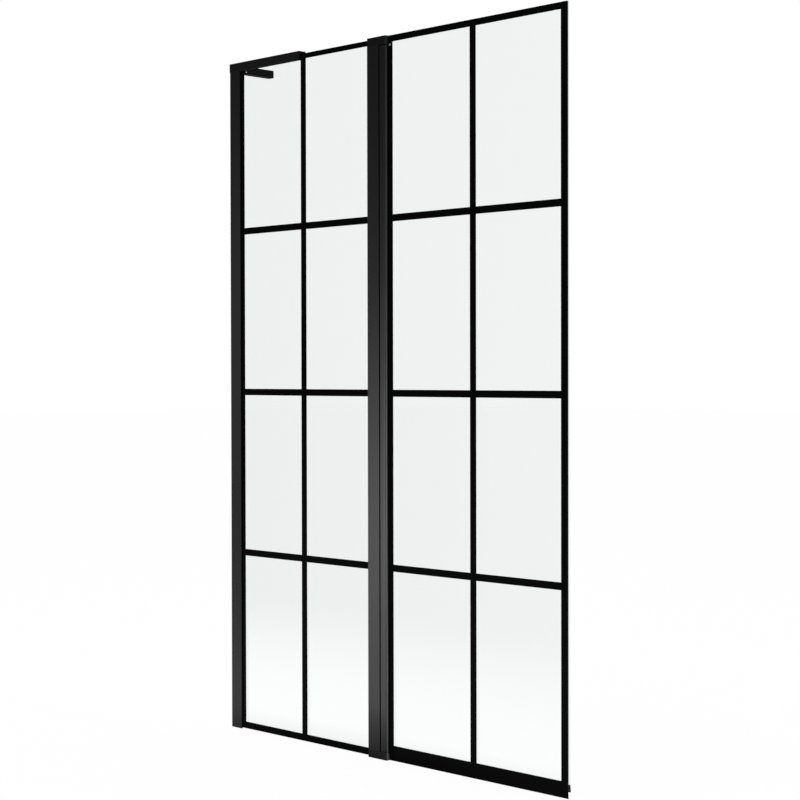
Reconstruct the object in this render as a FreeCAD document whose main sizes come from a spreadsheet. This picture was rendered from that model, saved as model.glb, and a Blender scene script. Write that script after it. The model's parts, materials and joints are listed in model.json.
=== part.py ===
import FreeCAD
import Part
import math
import os
import re
import Sketcher
from FreeCAD import Vector

# A two-panel bath screen: a glazed panel fixed to the wall, a hinge column and a hinged panel.
# The origin is on the wall, midway through the glass, level with the bath rim.
# +X runs along the screen away from the wall, +Y points into the bath and +Z is up.

# Driving sizes in millimetres
sizes = {
    # Heights
    "screen_height": 1484.2,
    "column_rise": 16.1,
    "glass_in_rail": 13.3,
    "panel_step": 0.6,
    "fixed_glass_lift": 2.2,
    "panel_glass_lift": 14.7,
    # Glass and the bars bonded to its dry side
    "glass_thickness": 6.0,
    "glass_arris": 0.6,
    "bar_width": 14.5,
    "bar_thickness": 3.0,
    "bar_arris": 0.5,
    "bar_gap": 0.4,
    "left_border_width": 10.0,
    "left_pane_width": 204.9,
    "first_pane_width": 220.4,
    "row_first": 393.1,
    "row_top_gap": 367.7,
    "border_lift": 2.4,
    # Wall profile, and the glazing profile that slides in it
    "wall_depth": 34.5,
    "wall_width": 16.0,
    "wall_skin": 1.5,
    "wall_web": 2.0,
    "wall_hole_radius": 2.5,
    "wall_end_margin": 100.0,
    "glazing_start": 12.0,
    "glazing_skin": 1.3,
    "glazing_web": 1.5,
    "slide_gap": 0.2,
    "edge_gasket": 2.0,
    # Screws that lock the two wall-side profiles, with their covers
    "lock_depth": 24.0,
    "lock_screw_radius": 1.45,
    "lock_hole_gap": 0.05,
    "lock_head_radius": 3.2,
    "lock_head_height": 2.0,
    "cover_radius": 4.8,
    "cover_height": 3.4,
    "cover_bevel": 0.9,
    "cover_gap": 0.2,
    # Hinge post
    "fixed_opening": 422.0,
    "post_width": 34.2,
    "post_depth": 24.0,
    "post_skin": 1.8,
    "post_slot_depth": 19.0,
    "post_gasket_wall": 2.0,
    "port_hole_radius": 1.9,
    "port_wall": 1.6,
    "port_merge": 0.4,
    "closing_gap": 3.3,
    "seal_foot_width": 4.0,
    "seal_foot_depth": 2.5,
    "seal_lip_width": 8.0,
    "seal_offset": 5.5,
    "seal_clearance": 0.3,
    # End caps of the hinge column
    "top_cap_height": 17.3,
    "bottom_cap_height": 16.3,
    "cap_slot_gap": 0.2,
    "cap_hole_radius": 2.1,
    "cap_screw_radius": 1.75,
    "cap_screw_bite": 18.0,
    "cap_head_radius": 3.4,
    "cap_head_height": 2.6,
    "cap_sink_radius": 3.7,
    "cap_sink_depth": 3.0,
    # Pivots
    "barrel_width": 18.0,
    "corner_radius": 5.0,
    "block_skin": 1.8,
    "pin_radius": 3.0,
    "pin_in_cap": 10.0,
    "pin_in_bush": 14.0,
    "pin_chamfer": 0.8,
    "running_gap": 0.05,
    "seat_gap": 0.02,
    "bush_wall": 1.5,
    "bush_length": 16.0,
    "bush_flange_radius": 7.0,
    "top_flange": 2.2,
    "bottom_flange": 0.8,
    "thrust_gap": 0.3,
    # Glass channel of the pivot profile, and the bead that closes its front
    "channel_floor": 0.3,
    "channel_reach": 12.0,
    "channel_back_reach": 5.5,
    "channel_skin": 1.8,
    "panel_gasket": 1.2,
    "bead_tongue": 1.0,
    "panel_screw_radius": 2.0,
    "panel_screw_inset": 5.0,
    "panel_screw_drop": 19.5,
    "screw_hole_gap": 0.05,
    "screw_proud": 0.2,
    "socket_radius": 1.1,
    "socket_depth": 1.0,
    # Hinged panel
    "panel_reach": 492.0,
    "right_border_width": 14.9,
    "top_border_width": 13.0,
    # Bottom seal of the hinged panel
    "clip_wall": 2.0,
    "clip_base": 2.0,
    "clip_height": 17.1,
    "clip_back_height": 12.0,
    "clip_leg_tip": 0.5,
    "clip_gap": 0.3,
    "nose_length": 12.0,
    "lip_setback": 0.8,
    "lip_lean": 1.6,
    "lip_thickness": 2.0,
    "lip_tip": 1.2,
    "rim_gap": 0.1,
    "drip_root": 1.8,
    "drip_tip": 0.8,
    "drip_drop": 1.2,
    # Stabiliser rail on the fixed glass
    "rail_height": 19.6,
    "rail_depth": 19.0,
    "rail_skin": 1.5,
    "rail_roof": 1.8,
    "rail_cap": 2.0,
    "rail_gasket_start": 20.0,
    # Arm along the wall, with its hidden strip and corner connector
    "arm_reach": 101.5,
    "arm_depth": 16.0,
    "arm_height": 16.8,
    "arm_inset": 2.9,
    "arm_skin": 1.6,
    "arm_lip": 1.8,
    "arm_slot": 9.6,
    "arm_cap": 2.0,
    "arm_plug": 5.0,
    "strip_start": 32.5,
    "strip_length": 66.0,
    "strip_head": 13.0,
    "strip_foot": 9.0,
    "strip_thickness": 6.0,
    "strip_hole_radius": 2.25,
    "strip_hole_spacing": 40.0,
    "slip_gap": 0.3,
    "connector_start": 2.0,
    "connector_gap": 0.5,
    "leg_width": 9.0,
    "leg_height": 12.0,
    "leg_reach": 28.0,
    "arm_screw_radius": 2.0,
    "arm_screw_along": 19.5,
    "arm_screw_drop": 1.8,
    "arm_screw_dimple": 2.0,
}

# Places worked out from the driving sizes
places = {
    # Along the screen
    "fixed_glass_left": "glazing_start + glazing_web + edge_gasket",
    "post_left": "wall_depth + fixed_opening",
    "post_right": "post_left + post_width",
    "post_slot_end": "post_left + post_slot_depth",
    "fixed_glass_right": "post_slot_end - edge_gasket",
    "chamber_left": "post_slot_end + post_skin",
    "chamber_right": "post_right - seal_foot_depth - post_skin",
    "barrel_left": "post_right + closing_gap",
    "barrel_right": "barrel_left + barrel_width",
    "barrel_radius": "barrel_width / 2",
    "axis_x": "barrel_left + barrel_radius",
    "channel_slot": "barrel_right + channel_floor",
    "channel_right": "barrel_right + channel_reach",
    "channel_back": "channel_slot + channel_back_reach",
    "bead_left": "barrel_right - bead_tongue",
    "panel_glass_left": "channel_slot + panel_gasket",
    "free_edge": "axis_x + panel_reach",
    "right_border_left": "free_edge - right_border_width",
    "left_border_end": "wall_depth + bar_gap / 2 + left_border_width",
    "fixed_bar_left": "wall_depth + left_pane_width",
    "fixed_bar_right": "fixed_bar_left + bar_width",
    "panel_bar_left": "channel_right + first_pane_width",
    "panel_bar_right": "panel_bar_left + bar_width",
    "rail_end": "fixed_bar_left - bar_gap",
    "clip_left": "channel_right + clip_gap",
    # Across the screen, from the middle of the glass
    "glass_half": "glass_thickness / 2",
    "wall_half": "wall_width / 2",
    "glazing_half": "wall_half - wall_skin - slide_gap",
    "glazing_inner": "glazing_half - glazing_skin",
    "post_half": "post_depth / 2",
    "slot_half": "glass_half + post_gasket_wall",
    "channel_inner": "glass_half + panel_gasket",
    "channel_half": "channel_inner + channel_skin",
    "bar_front": "glass_half + bar_thickness",
    "clip_half": "glass_half + clip_wall",
    "rail_half": "rail_depth / 2",
    "rail_inner": "rail_half - rail_skin",
    # Up from the bath rim
    "fixed_glass_top": "screen_height + glass_in_rail",
    "rail_top": "screen_height + rail_height",
    "rail_ceiling": "rail_top - rail_roof",
    "fixed_border_bottom": "screen_height + border_lift",
    "column_top": "screen_height + column_rise",
    "top_cap_bottom": "column_top - top_cap_height",
    "pivot_bottom": "bottom_cap_height + thrust_gap + bottom_flange",
    "pivot_top": "top_cap_bottom - thrust_gap - top_flange",
    "panel_glass_top": "column_top - panel_step",
    "panel_border_bottom": "panel_glass_top - top_border_width",
    "clip_bottom": "panel_glass_lift - clip_base",
    "clip_top": "panel_glass_lift + clip_height",
    "clip_back_top": "panel_glass_lift + clip_back_height",
    "row_last": "screen_height - row_top_gap",
    "row_middle": "(row_first + row_last) / 2",
    "arm_top": "rail_top - arm_inset",
    "arm_bottom": "arm_top - arm_height",
    "arm_middle": "arm_top - arm_height / 2",
    # Hinge
    "port_radius": "port_hole_radius + port_wall",
    "port_x": "chamber_left + port_radius - port_merge",
    "port_y": "post_half - post_skin - port_radius + port_merge",
    "bush_bore": "pin_radius + running_gap",
    "bush_radius": "bush_bore + bush_wall",
    "barrel_bore": "bush_radius + seat_gap",
    "panel_screw_x": "channel_right - panel_screw_inset",
    "panel_screw_z": "panel_glass_top - panel_screw_drop",
    # Arm
    "arm_end": "rail_half + arm_reach",
    "arm_screw_y": "rail_half + arm_screw_along",
    "arm_screw_z": "arm_middle - arm_screw_drop",
    "leg_right": "arm_depth - arm_skin - slip_gap",
    "leg_left": "leg_right - leg_width",
    "strip_near": "rail_half + strip_start",
    "strip_middle": "strip_near + strip_length / 2",
}

row_levels = ["row_first", "row_middle", "row_last"]
lock_levels = ["wall_end_margin", "screen_height / 2", "screen_height - wall_end_margin"]

doc = FreeCAD.newDocument("BathScreen")


def fill_sheet():
    sheet = doc.addObject("Spreadsheet::Sheet", "Sizes")
    for row, (name, value) in enumerate(sizes.items(), start=1):
        sheet.set(f"A{row}", name)
        sheet.set(f"B{row}", str(value))
        sheet.setAlias(f"B{row}", name)
    doc.recompute()


def tied(formula):
    # Words become cells of the sheet, and worked-out places are written out in full
    def cell(match):
        word = match.group(0)
        if word in places:
            return f"({tied(places[word])})"
        return f"Sizes.{word}"

    return re.sub(r"[a-z_]+", cell, formula)


def new_body(name):
    body = doc.addObject("PartDesign::Body", name)
    body.Label = name
    body.AllowCompound = True
    return body


def origin_feature(body, role):
    return next(feature for feature in body.Origin.OriginFeatures if feature.Role == role)


def sketch_on(body, plane, offset=("0", "0", "0")):
    # The offset is in the plane's own axes: XZ_Plane has X, Z and -Y, and YZ_Plane has Y, Z and X
    sketch = body.newObject("Sketcher::SketchObject", f"{body.Name}_sketch")
    sketch.AttachmentSupport = [(origin_feature(body, plane), "")]
    sketch.MapMode = "FlatFace"
    for axis, formula in zip("xyz", offset):
        if formula != "0":
            sketch.setExpression(f"AttachmentOffset.Base.{axis}", tied(formula))
    return sketch


def tie_point(sketch, geometry, point, formulas, start):
    for kind, formula, value in zip(("DistanceX", "DistanceY"), formulas, (start.x, start.y)):
        number = sketch.addConstraint(Sketcher.Constraint(kind, -1, 1, geometry, point, value))
        sketch.setExpression(f"Constraints[{number}]", tied(formula))


def outline(sketch, points):
    # A closed outline, drawn first as a regular polygon that the tied sizes then pull into shape
    count = len(points)
    turn_step = 2 * math.pi / count
    start = [Vector(math.cos(turn_step * i), math.sin(turn_step * i), 0) for i in range(count)]
    first = sketch.GeometryCount
    for i in range(count):
        sketch.addGeometry(Part.LineSegment(start[i], start[(i + 1) % count]), False)
    for i in range(count):
        link = Sketcher.Constraint("Coincident", first + i, 2, first + (i + 1) % count, 1)
        sketch.addConstraint(link)
    for i, formulas in enumerate(points):
        tie_point(sketch, first + i, 1, formulas, start[i])


def rectangle(sketch, left, bottom, right, top):
    outline(sketch, [(left, bottom), (right, bottom), (right, top), (left, top)])


def circle(sketch, centre, radius):
    ring = Part.Circle(Vector(1, 1, 0), Vector(0, 0, 1), 1)
    number = sketch.addGeometry(ring, False)
    tie_point(sketch, number, 3, centre, Vector(1, 1, 0))
    size = sketch.addConstraint(Sketcher.Constraint("Radius", number, 1.0))
    sketch.setExpression(f"Constraints[{size}]", tied(radius))


def mirrored(half):
    # The other half of an outline that is alike on both sides of the glass
    return half + [(x, f"-({y})") for x, y in reversed(half)]


def pad(body, sketch, length, reverse=False):
    feature = body.newObject("PartDesign::Pad", f"{body.Name}_pad")
    feature.Profile = sketch
    feature.setExpression("Length", tied(length))
    feature.Reversed = reverse
    return feature


def pocket(body, sketch, depth, reverse=False):
    doc.recompute()
    before = body.Shape.Volume
    feature = body.newObject("PartDesign::Pocket", f"{body.Name}_pocket")
    feature.Profile = sketch
    feature.setExpression("Length", tied(depth))
    feature.Reversed = reverse
    doc.recompute()
    if not feature.Shape.Volume < before:
        raise RuntimeError(f"a pocket of {body.Name} cuts nothing")
    return feature


def turn(body, sketch, axis="V_Axis"):
    feature = body.newObject("PartDesign::Revolution", f"{body.Name}_turn")
    feature.Profile = sketch
    feature.ReferenceAxis = (sketch, [axis])
    feature.Angle = 360
    return feature


def repeat(body, features, axis, count, length):
    pattern = body.newObject("PartDesign::LinearPattern", f"{body.Name}_row")
    pattern.Originals = features
    pattern.Direction = (origin_feature(body, axis), [""])
    pattern.Occurrences = count
    pattern.setExpression("Length", tied(length))
    body.Tip = pattern
    return pattern


def chamfer(body, feature, names, size):
    edge = body.newObject("PartDesign::Chamfer", f"{body.Name}_arris")
    edge.Base = (feature, names)
    edge.setExpression("Size", tied(size))
    body.Tip = edge


def round_corner(body, size):
    # The upright edge furthest out to the front and away from the wall
    doc.recompute()
    block = body.Tip
    reach = {}
    for number, edge in enumerate(block.Shape.Edges, start=1):
        low, high = edge.Vertexes[0].Point, edge.Vertexes[-1].Point
        if abs(low.z - high.z) > abs(low.x - high.x) + abs(low.y - high.y):
            reach[f"Edge{number}"] = low.x - low.y
    corner = body.newObject("PartDesign::Fillet", f"{body.Name}_corner")
    corner.Base = (block, [max(reach, key=reach.get)])
    corner.setExpression("Radius", tied(size))
    body.Tip = corner


def extrusion(name, points, bottom, top):
    # An upright length of one section
    body = new_body(name)
    sketch = sketch_on(body, "XY_Plane", ("0", "0", bottom))
    outline(sketch, points)
    pad(body, sketch, f"{top} - ({bottom})")
    return body


def drill_up(body, bottom, depth, circles):
    # Round holes from a level upwards
    sketch = sketch_on(body, "XY_Plane", ("0", "0", bottom))
    for centre, radius in circles:
        circle(sketch, centre, radius)
    pocket(body, sketch, depth, reverse=True)


def wall_profile():
    half = [
        ("0", "wall_half"),
        ("wall_depth", "wall_half"),
        ("wall_depth", "wall_half - wall_skin"),
        ("wall_web", "wall_half - wall_skin"),
    ]
    body = extrusion("wall_profile", mirrored(half), "0", "screen_height")
    fixings = sketch_on(body, "YZ_Plane")
    for level in lock_levels:
        circle(fixings, ("0", level), "wall_hole_radius")
    pocket(body, fixings, "wall_web", reverse=True)
    locks = sketch_on(body, "XZ_Plane", ("0", "0", "-wall_half"))
    for level in lock_levels:
        circle(locks, ("lock_depth", level), "lock_screw_radius + lock_hole_gap")
    pocket(body, locks, "wall_skin", reverse=True)


def glazing_profile():
    half = [
        ("glazing_start", "glazing_half"),
        ("wall_depth", "glazing_half"),
        ("wall_depth", "glazing_inner"),
        ("glazing_start + glazing_web", "glazing_inner"),
    ]
    body = extrusion("glazing_profile", mirrored(half), "0", "screen_height")
    locks = sketch_on(body, "XZ_Plane", ("0", "0", "-glazing_half"))
    for level in lock_levels:
        circle(locks, ("lock_depth", level), "lock_screw_radius + lock_hole_gap")
    pocket(body, locks, "glazing_skin", reverse=True)


def lock_row(name, section):
    # Turned pieces in a row up the wet side of the wall profile
    body = new_body(name)
    sketch = sketch_on(body, "XY_Plane", ("lock_depth", "0", lock_levels[0]))
    outline(sketch, section)
    piece = turn(body, sketch)
    repeat(body, [piece], "Z_Axis", len(lock_levels), "screen_height - 2 * wall_end_margin")


def profile_lock_screws():
    section = [
        ("0", "glazing_inner"),
        ("lock_screw_radius", "glazing_inner"),
        ("lock_screw_radius", "wall_half"),
        ("lock_head_radius", "wall_half"),
        ("lock_head_radius", "wall_half + lock_head_height"),
        ("0", "wall_half + lock_head_height"),
    ]
    lock_row("profile_lock_screws", section)


def screw_cover_caps():
    section = [
        ("lock_head_radius + cover_gap", "wall_half"),
        ("cover_radius", "wall_half"),
        ("cover_radius", "wall_half + cover_height - cover_bevel"),
        ("cover_radius - cover_bevel", "wall_half + cover_height"),
        ("0", "wall_half + cover_height"),
        ("0", "wall_half + lock_head_height + cover_gap"),
        ("lock_head_radius + cover_gap", "wall_half + lock_head_height + cover_gap"),
    ]
    lock_row("screw_cover_caps", section)


def fixed_glass_gasket():
    half = [
        ("glazing_start + glazing_web", "glazing_inner"),
        ("wall_depth", "glazing_inner"),
        ("wall_depth", "glass_half"),
        ("fixed_glass_left", "glass_half"),
    ]
    extrusion("fixed_glass_gasket", mirrored(half), "fixed_glass_lift", "screen_height")


def pane(name, left, bottom, right, top):
    # Toughened glass with ground edges
    body = new_body(name)
    sketch = sketch_on(body, "XZ_Plane", ("0", "0", "-glass_half"))
    rectangle(sketch, left, bottom, right, top)
    sheet = pad(body, sketch, "glass_thickness")
    doc.recompute()
    edges = [f"Edge{i + 1}" for i in range(len(sheet.Shape.Edges))]
    chamfer(body, sheet, edges, "glass_arris")


def glazing_bars(name, rectangles):
    # Flat bars bonded to the dry side of the glass, with a small arris round the front
    body = new_body(name)
    sketch = sketch_on(body, "XZ_Plane", ("0", "0", "glass_half"))
    for corners in rectangles:
        rectangle(sketch, *corners)
    bars = pad(body, sketch, "bar_thickness")
    doc.recompute()
    faces = enumerate(bars.Shape.Faces, start=1)
    fronts = [f"Face{i}" for i, face in faces if face.normalAt(0, 0).y < -0.9]
    chamfer(body, bars, fronts, "bar_arris")


def fixed_bars():
    left_border = (
        "wall_depth + bar_gap / 2",
        "fixed_glass_lift",
        "left_border_end",
        "screen_height - bar_gap",
    )
    middle = ("fixed_bar_left", "fixed_glass_lift", "fixed_bar_right", "fixed_glass_top")
    glazing_bars("fixed_vertical_bars", [left_border, middle])
    spans = [("left_border_end", "fixed_bar_left"), ("fixed_bar_right", "post_left - bar_gap")]
    levels = [(row, f"{row} + bar_width") for row in row_levels]
    levels.append(("fixed_glass_lift", "fixed_glass_lift + bar_width"))
    levels.append(("fixed_border_bottom", "fixed_glass_top"))
    glazing_bars(
        "fixed_horizontal_bars",
        [(left, bottom, right, top) for left, right in spans for bottom, top in levels],
    )


def panel_bars():
    middle = ("panel_bar_left", "clip_top", "panel_bar_right", "panel_glass_top")
    right_border = ("right_border_left", "clip_top", "free_edge", "panel_glass_top")
    glazing_bars("panel_vertical_bars", [middle, right_border])
    spans = [("channel_right + bar_gap", "panel_bar_left"), ("panel_bar_right", "right_border_left")]
    levels = [(row, f"{row} + bar_width") for row in row_levels]
    levels.append(("panel_border_bottom", "panel_glass_top"))
    glazing_bars(
        "panel_horizontal_bars",
        [(left, bottom, right, top) for left, right in spans for bottom, top in levels],
    )


def hinge_post():
    seal_front = "-(seal_offset + seal_foot_width / 2)"
    seal_back = "-(seal_offset - seal_foot_width / 2)"
    section = [
        ("post_left", "-post_half"),
        ("post_right", "-post_half"),
        ("post_right", seal_front),
        ("post_right - seal_foot_depth", seal_front),
        ("post_right - seal_foot_depth", seal_back),
        ("post_right", seal_back),
        ("post_right", "post_half"),
        ("post_left", "post_half"),
        ("post_left", "slot_half"),
        ("post_slot_end", "slot_half"),
        ("post_slot_end", "-slot_half"),
        ("post_left", "-slot_half"),
    ]
    body = extrusion("hinge_post", section, "bottom_cap_height", "top_cap_bottom")
    length = "top_cap_bottom - bottom_cap_height"
    inner = "post_half - post_skin"
    hollows = sketch_on(body, "XY_Plane", ("0", "0", "bottom_cap_height"))
    rectangle(hollows, "chamber_left", f"-({inner})", "chamber_right", inner)
    rectangle(hollows, "post_left + post_skin", "slot_half + post_skin", "post_slot_end", inner)
    rectangle(hollows, "post_left + post_skin", f"-({inner})", "post_slot_end", "-(slot_half + post_skin)")
    pocket(body, hollows, length, reverse=True)
    ports = sketch_on(body, "XY_Plane", ("0", "0", "bottom_cap_height"))
    for side in ("port_y", "-port_y"):
        circle(ports, ("port_x", side), "port_radius")
    pad(body, ports, length)
    holes = [(("port_x", side), "port_hole_radius") for side in ("port_y", "-port_y")]
    drill_up(body, "bottom_cap_height", length, holes)


def post_gasket():
    half = [
        ("post_slot_end", "slot_half"),
        ("post_left", "slot_half"),
        ("post_left", "glass_half"),
        ("fixed_glass_right", "glass_half"),
    ]
    extrusion("post_gasket", mirrored(half), "bottom_cap_height", "top_cap_bottom")


def closing_seal():
    # A strip in the post that the hinged panel's square front closes on
    section = []
    for sign in ("-", "+"):
        section.append(("post_right - seal_foot_depth", f"-seal_offset {sign} seal_foot_width / 2"))
        section.append(("post_right", f"-seal_offset {sign} seal_foot_width / 2"))
        section.append(("post_right", f"-seal_offset {sign} seal_lip_width / 2"))
        section.append(("barrel_left - seal_clearance", f"-seal_offset {sign} seal_lip_width / 2"))
    extrusion("closing_seal", section[:4] + section[:3:-1], "bottom_cap_height", "top_cap_bottom")


def cap_block(name, bottom, top):
    # Square over the post and over the front of the pivot, and round at the back of the pivot
    section = [
        ("post_left", "-post_half"),
        ("barrel_right", "-post_half"),
        ("barrel_right", "0"),
        ("axis_x", "0"),
        ("axis_x", "barrel_radius"),
        ("post_right", "barrel_radius"),
        ("post_right", "post_half"),
        ("post_left", "post_half"),
    ]
    body = extrusion(name, section, bottom, top)
    round_corner(body, "corner_radius")
    nose = sketch_on(body, "XY_Plane", ("0", "0", bottom))
    circle(nose, ("axis_x", "0"), "barrel_radius")
    pad(body, nose, f"{top} - ({bottom})")
    screw_holes = [(("port_x", side), "cap_hole_radius") for side in ("port_y", "-port_y")]
    drill_up(body, bottom, f"{top} - ({bottom})", screw_holes)
    return body


def glass_slot(body, bottom, height):
    slot = sketch_on(body, "XY_Plane", ("0", "0", bottom))
    reach = "glass_half + cap_slot_gap"
    rectangle(slot, "post_left", f"-({reach})", "fixed_glass_right + cap_slot_gap", reach)
    pocket(body, slot, height, reverse=True)


def hinge_caps():
    sinks = [(("port_x", side), "cap_sink_radius") for side in ("port_y", "-port_y")]
    pin_hole = [(("axis_x", "0"), "pin_radius + seat_gap")]
    top = cap_block("top_hinge_cap", "top_cap_bottom", "column_top")
    drill_up(top, "column_top - cap_sink_depth", "cap_sink_depth", sinks)
    drill_up(top, "top_cap_bottom", "pin_in_cap", pin_hole)
    glass_slot(top, "top_cap_bottom", "fixed_glass_top + cap_slot_gap - top_cap_bottom")
    bottom = cap_block("bottom_hinge_cap", "0", "bottom_cap_height")
    drill_up(bottom, "0", "cap_sink_depth", sinks)
    drill_up(bottom, "bottom_cap_height - pin_in_cap", "pin_in_cap", pin_hole)
    glass_slot(bottom, "0", "bottom_cap_height")


def hinge_cap_screws():
    # A pair down through the top cap and a pair up through the bottom cap
    body = new_body("hinge_cap_screws")
    ends = [
        ("column_top - cap_sink_depth", "+", "top_cap_bottom - cap_screw_bite"),
        ("cap_sink_depth", "-", "bottom_cap_height + cap_screw_bite"),
    ]
    screws = []
    for seat, outward, tip in ends:
        sketch = sketch_on(body, "XZ_Plane", ("port_x", "0", "port_y"))
        crown = f"{seat} {outward} cap_head_height"
        section = [
            ("0", tip),
            ("cap_screw_radius", tip),
            ("cap_screw_radius", seat),
            ("cap_head_radius", seat),
            ("cap_head_radius", crown),
            ("0", crown),
        ]
        outline(sketch, section)
        screws.append(turn(body, sketch))
    repeat(body, screws, "Y_Axis", 2, "2 * port_y")


def turned_about_axis(name, section):
    body = new_body(name)
    sketch = sketch_on(body, "XZ_Plane", ("axis_x", "0", "0"))
    outline(sketch, section)
    turn(body, sketch)


def pivot_pin(name, cap_face, inward, flange):
    # inward is the sign of the way from the cap to the panel
    outward = "-" if inward == "+" else "+"
    head = f"{cap_face} {outward} pin_in_cap"
    tip = f"{cap_face} {inward} thrust_gap {inward} {flange} {inward} pin_in_bush"
    section = [
        ("0", head),
        ("pin_radius", head),
        ("pin_radius", f"{tip} {outward} pin_chamfer"),
        ("pin_radius - pin_chamfer", tip),
        ("0", tip),
    ]
    turned_about_axis(name, section)


def flanged_bush(name, profile_end, inward, flange):
    outward = "-" if inward == "+" else "+"
    flange_face = f"{profile_end} {outward} {flange}"
    far_end = f"{profile_end} {inward} bush_length"
    section = [
        ("bush_bore", far_end),
        ("bush_radius", far_end),
        ("bush_radius", profile_end),
        ("bush_flange_radius", profile_end),
        ("bush_flange_radius", flange_face),
        ("bush_bore", flange_face),
    ]
    turned_about_axis(name, section)


def pivots():
    pivot_pin("top_pivot_pin", "top_cap_bottom", "-", "top_flange")
    pivot_pin("bottom_pivot_pin", "bottom_cap_height", "+", "bottom_flange")
    flanged_bush("top_pivot_bush", "pivot_top", "-", "top_flange")
    flanged_bush("bottom_pivot_bush", "pivot_bottom", "+", "bottom_flange")


def pivot_profile():
    # A square front, a round back about the pins, and a seat for the glass with a groove for the bead
    section = [
        ("barrel_left", "-post_half"),
        ("barrel_right", "-post_half"),
        ("barrel_right", "-channel_half"),
        ("bead_left", "-channel_half"),
        ("bead_left", "-channel_inner"),
        ("channel_slot", "-channel_inner"),
        ("channel_slot", "channel_inner"),
        ("channel_back", "channel_inner"),
        ("channel_back", "channel_half"),
        ("axis_x", "channel_half"),
        ("axis_x", "0"),
        ("barrel_left", "0"),
    ]
    length = "pivot_top - pivot_bottom"
    body = extrusion("pivot_profile", section, "pivot_bottom", "pivot_top")
    round_corner(body, "corner_radius")
    core = sketch_on(body, "XY_Plane", ("0", "0", "pivot_bottom"))
    circle(core, ("axis_x", "0"), "barrel_radius")
    pad(body, core, length)
    hollows = sketch_on(body, "XY_Plane", ("0", "0", "pivot_bottom"))
    circle(hollows, ("axis_x", "0"), "barrel_bore")
    rectangle(
        hollows,
        "barrel_left + block_skin",
        "-(post_half - block_skin)",
        "barrel_right - 0.8 * corner_radius",
        "-(channel_half + block_skin)",
    )
    pocket(body, hollows, length, reverse=True)


def glazing_bead():
    # A strip over the edge of the glass, with a tongue in the pivot profile's groove
    section = [
        ("barrel_right + cap_slot_gap", "-channel_half"),
        ("channel_right - bar_arris", "-channel_half"),
        ("channel_right", "-channel_half + bar_arris"),
        ("channel_right", "-channel_inner"),
        ("barrel_right + cap_slot_gap", "-channel_inner"),
    ]
    body = extrusion("glazing_bead", section, "panel_glass_lift + bar_gap", "panel_glass_top")
    tongue = sketch_on(body, "XY_Plane", ("0", "0", "pivot_bottom"))
    rectangle(tongue, "bead_left", "-channel_half", "barrel_right + cap_slot_gap", "-channel_inner")
    pad(body, tongue, "pivot_top - pivot_bottom")
    screw_hole = sketch_on(body, "XZ_Plane", ("0", "0", "channel_half"))
    circle(screw_hole, ("panel_screw_x", "panel_screw_z"), "panel_screw_radius + screw_hole_gap")
    pocket(body, screw_hole, "channel_skin")


def panel_lock_screw():
    body = new_body("panel_lock_screw")
    sketch = sketch_on(body, "XY_Plane", ("panel_screw_x", "0", "panel_screw_z"))
    face = "-(channel_half + screw_proud)"
    section = [
        ("0", "-channel_inner"),
        ("panel_screw_radius", "-channel_inner"),
        ("panel_screw_radius", face),
        ("socket_radius", face),
        ("socket_radius", f"{face} + socket_depth"),
        ("0", f"{face} + socket_depth"),
    ]
    outline(sketch, section)
    turn(body, sketch)


def panel_glass_gasket():
    section = [
        ("channel_slot", "-channel_inner"),
        ("channel_right", "-channel_inner"),
        ("channel_right", "-glass_half"),
        ("panel_glass_left", "-glass_half"),
        ("panel_glass_left", "glass_half"),
        ("channel_back", "glass_half"),
        ("channel_back", "channel_inner"),
        ("channel_slot", "channel_inner"),
    ]
    body = extrusion("panel_glass_gasket", section, "pivot_bottom", "pivot_top")
    leg = sketch_on(body, "XY_Plane", ("0", "0", "panel_glass_lift + bar_gap"))
    rectangle(leg, "panel_glass_left", "-channel_inner", "channel_right", "-glass_half")
    pad(body, leg, "panel_glass_top - panel_glass_lift - bar_gap")


def bottom_seal():
    # A clip over the glass edge, a lip that reaches down to the bath rim and a drip edge on the wet side
    base = [
        ("-clip_half", "clip_bottom"),
        ("-clip_half + lip_setback", "clip_bottom"),
        ("-clip_half + lip_setback + lip_lean", "rim_gap"),
        ("-clip_half + lip_setback + lip_lean + lip_tip", "rim_gap"),
        ("-clip_half + lip_setback + lip_thickness", "clip_bottom"),
        ("clip_half - drip_root", "clip_bottom"),
        ("clip_half - drip_tip", "clip_bottom - drip_drop"),
        ("clip_half", "clip_bottom - drip_drop"),
        ("clip_half", "panel_glass_lift"),
    ]
    clip = [
        ("glass_half + clip_leg_tip", "clip_back_top"),
        ("glass_half", "clip_back_top"),
        ("glass_half", "panel_glass_lift"),
        ("-glass_half", "panel_glass_lift"),
        ("-glass_half", "clip_top"),
        ("-clip_half", "clip_top"),
    ]
    body = new_body("bottom_seal")
    full = sketch_on(body, "YZ_Plane", ("0", "0", "clip_left"))
    outline(full, base + clip)
    pad(body, full, "free_edge - clip_left")
    # Its front half runs on past the glass to the hinge column, and clears the column as the panel swings
    nose = sketch_on(body, "YZ_Plane", ("0", "0", "clip_left - nose_length"))
    front_half = [("0", "clip_bottom"), ("0", "panel_glass_lift"), ("-clip_half", "panel_glass_lift")]
    outline(nose, base[:5] + front_half)
    pad(body, nose, "nose_length")


def rail_section(front, back, top, back_foot):
    # Round both sides of an upside-down channel in the rail, from its opening for the glass
    return [
        ("-rail_half", "screen_height"),
        (front, "screen_height"),
        (front, top),
        (back, top),
        (back, back_foot),
        ("rail_half", back_foot),
        ("rail_half", "rail_top"),
        ("-rail_half", "rail_top"),
    ]


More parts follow.
